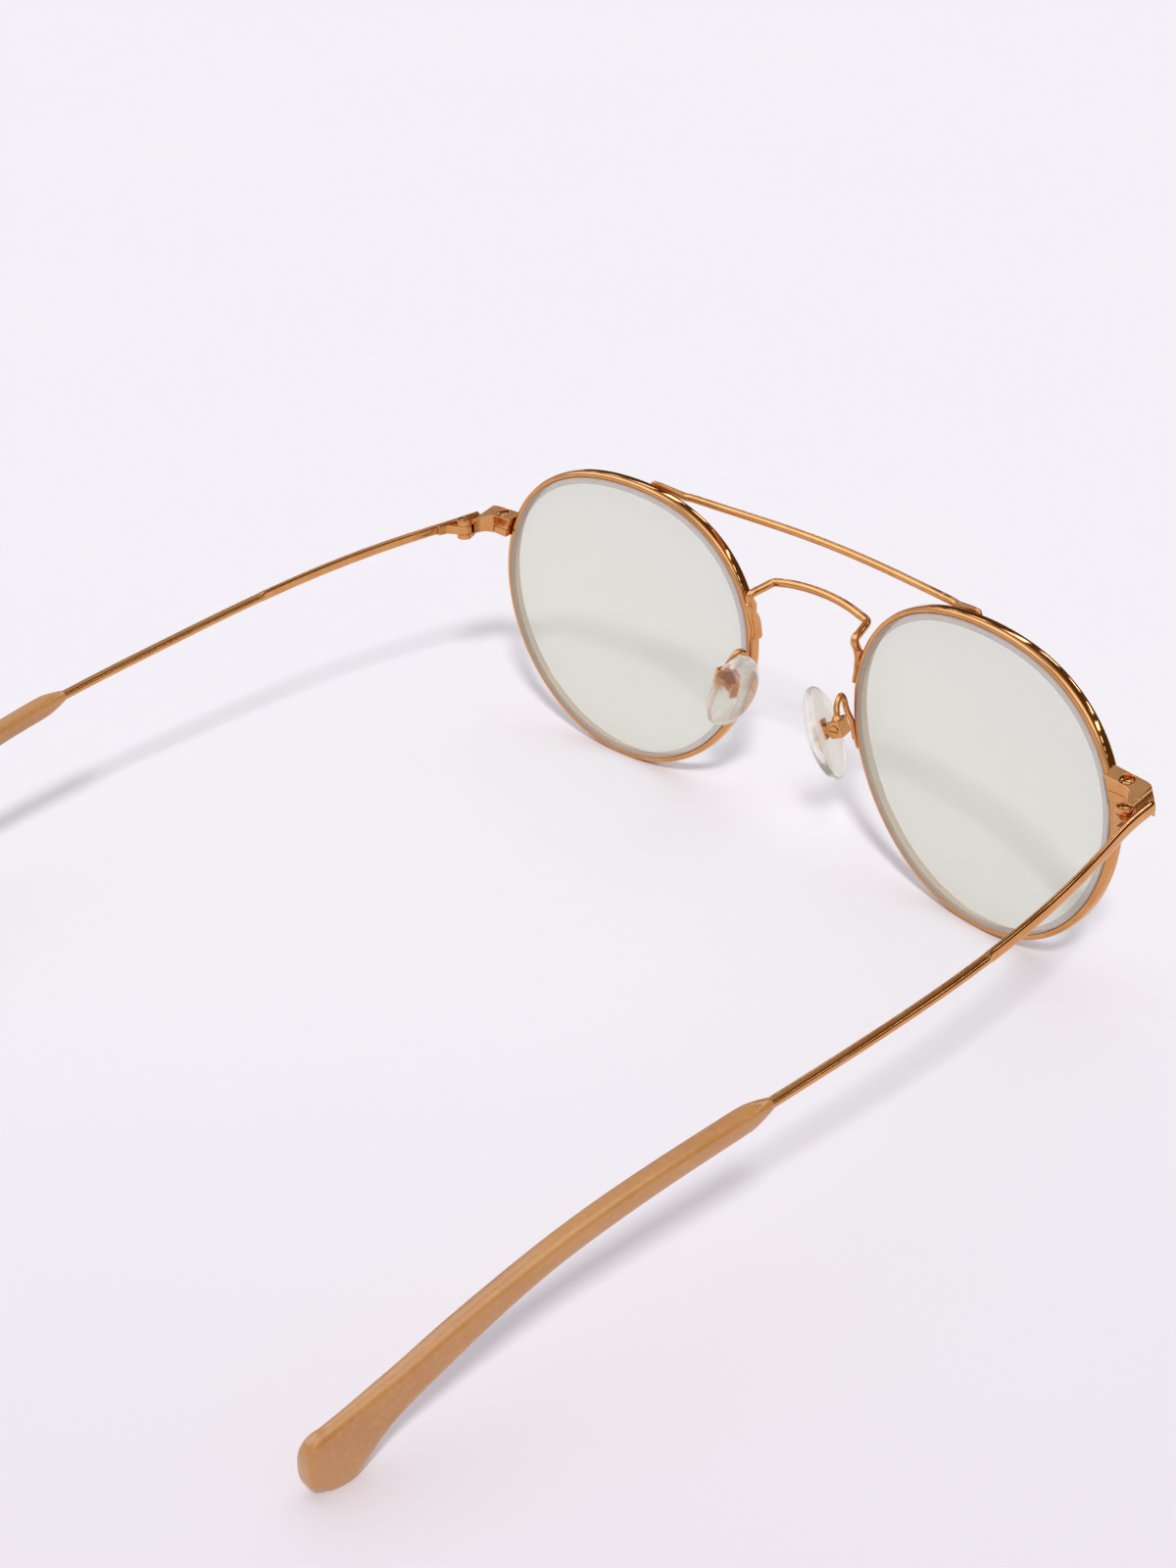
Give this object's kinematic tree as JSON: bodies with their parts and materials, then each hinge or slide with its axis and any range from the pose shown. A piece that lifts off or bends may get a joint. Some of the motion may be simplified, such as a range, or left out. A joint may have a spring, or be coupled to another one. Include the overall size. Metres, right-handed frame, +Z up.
{
  "type": "round eyeglasses",
  "caption": "Round wire eyeglasses with a brow bar over the bridge, rimmed clear lenses, rocking nose pads on looped arms, folding temples and curved plastic ear tips.",
  "frame": {"origin": "middle of the bounding box in X and Y, on the floor plane under the open glasses", "axes": "+X to the wearer's left, +Y from the lenses towards the ear tips, +Z up towards the brow bar"},
  "size_m": [0.149, 0.1507, 0.0476],
  "materials": {
    "metal": "polished rose-gold plating over a copper-nickel wire",
    "lens": "clear polished optical plastic with a matt ground edge",
    "tip": "glossy caramel acetate",
    "pad": "clear soft silicone"
  },
  "bodies": {
    "front": {"brow_bar": "metal", "bridge": "metal", "rim_left": "metal", "lens_left": "lens", "end_piece_left": "metal", "closing_block_left": "metal", "closing_screw_left": "metal", "hinge_front_left": "metal", "hinge_screw_left": "metal", "pad_arm_left": "metal", "pad_box_left": "metal", "pad_screw_left": "metal", "rim_right": "metal", "lens_right": "lens", "end_piece_right": "metal", "closing_block_right": "metal", "closing_screw_right": "metal", "hinge_front_right": "metal", "hinge_screw_right": "metal", "pad_arm_right": "metal", "pad_box_right": "metal", "pad_screw_right": "metal"},
    "temple_left": {"hinge_temple_left": "metal", "temple_left": "metal", "temple_tip_left": "tip"},
    "temple_right": {"hinge_temple_right": "metal", "temple_right": "metal", "temple_tip_right": "tip"},
    "pad_left": {"nose_pad_left": "pad", "pad_insert_left": "metal"},
    "pad_right": {"nose_pad_right": "pad", "pad_insert_right": "metal"}
  },
  "joints": [
    {"name": "temple_left_fold", "type": "hinge", "parent": "front", "child": "temple_left", "pos_m": [0.0663, -0.06063, 0.0321], "axis": [0, 0, 1], "range_deg": [0, 91]},
    {"name": "temple_right_fold", "type": "hinge", "parent": "front", "child": "temple_right", "pos_m": [-0.0663, -0.06063, 0.0321], "axis": [0, 0, -1], "range_deg": [0, 88]},
    {"name": "pad_left_rock", "type": "hinge", "parent": "front", "child": "pad_left", "pos_m": [0.01144, -0.06529, 0.02341], "axis": [0.3003, 0.9537, -0.0135], "range_deg": [-8, 8]},
    {"name": "pad_right_rock", "type": "hinge", "parent": "front", "child": "pad_right", "pos_m": [-0.01144, -0.06529, 0.02341], "axis": [0.3003, -0.9537, 0.0135], "range_deg": [-8, 8]}
  ]
}
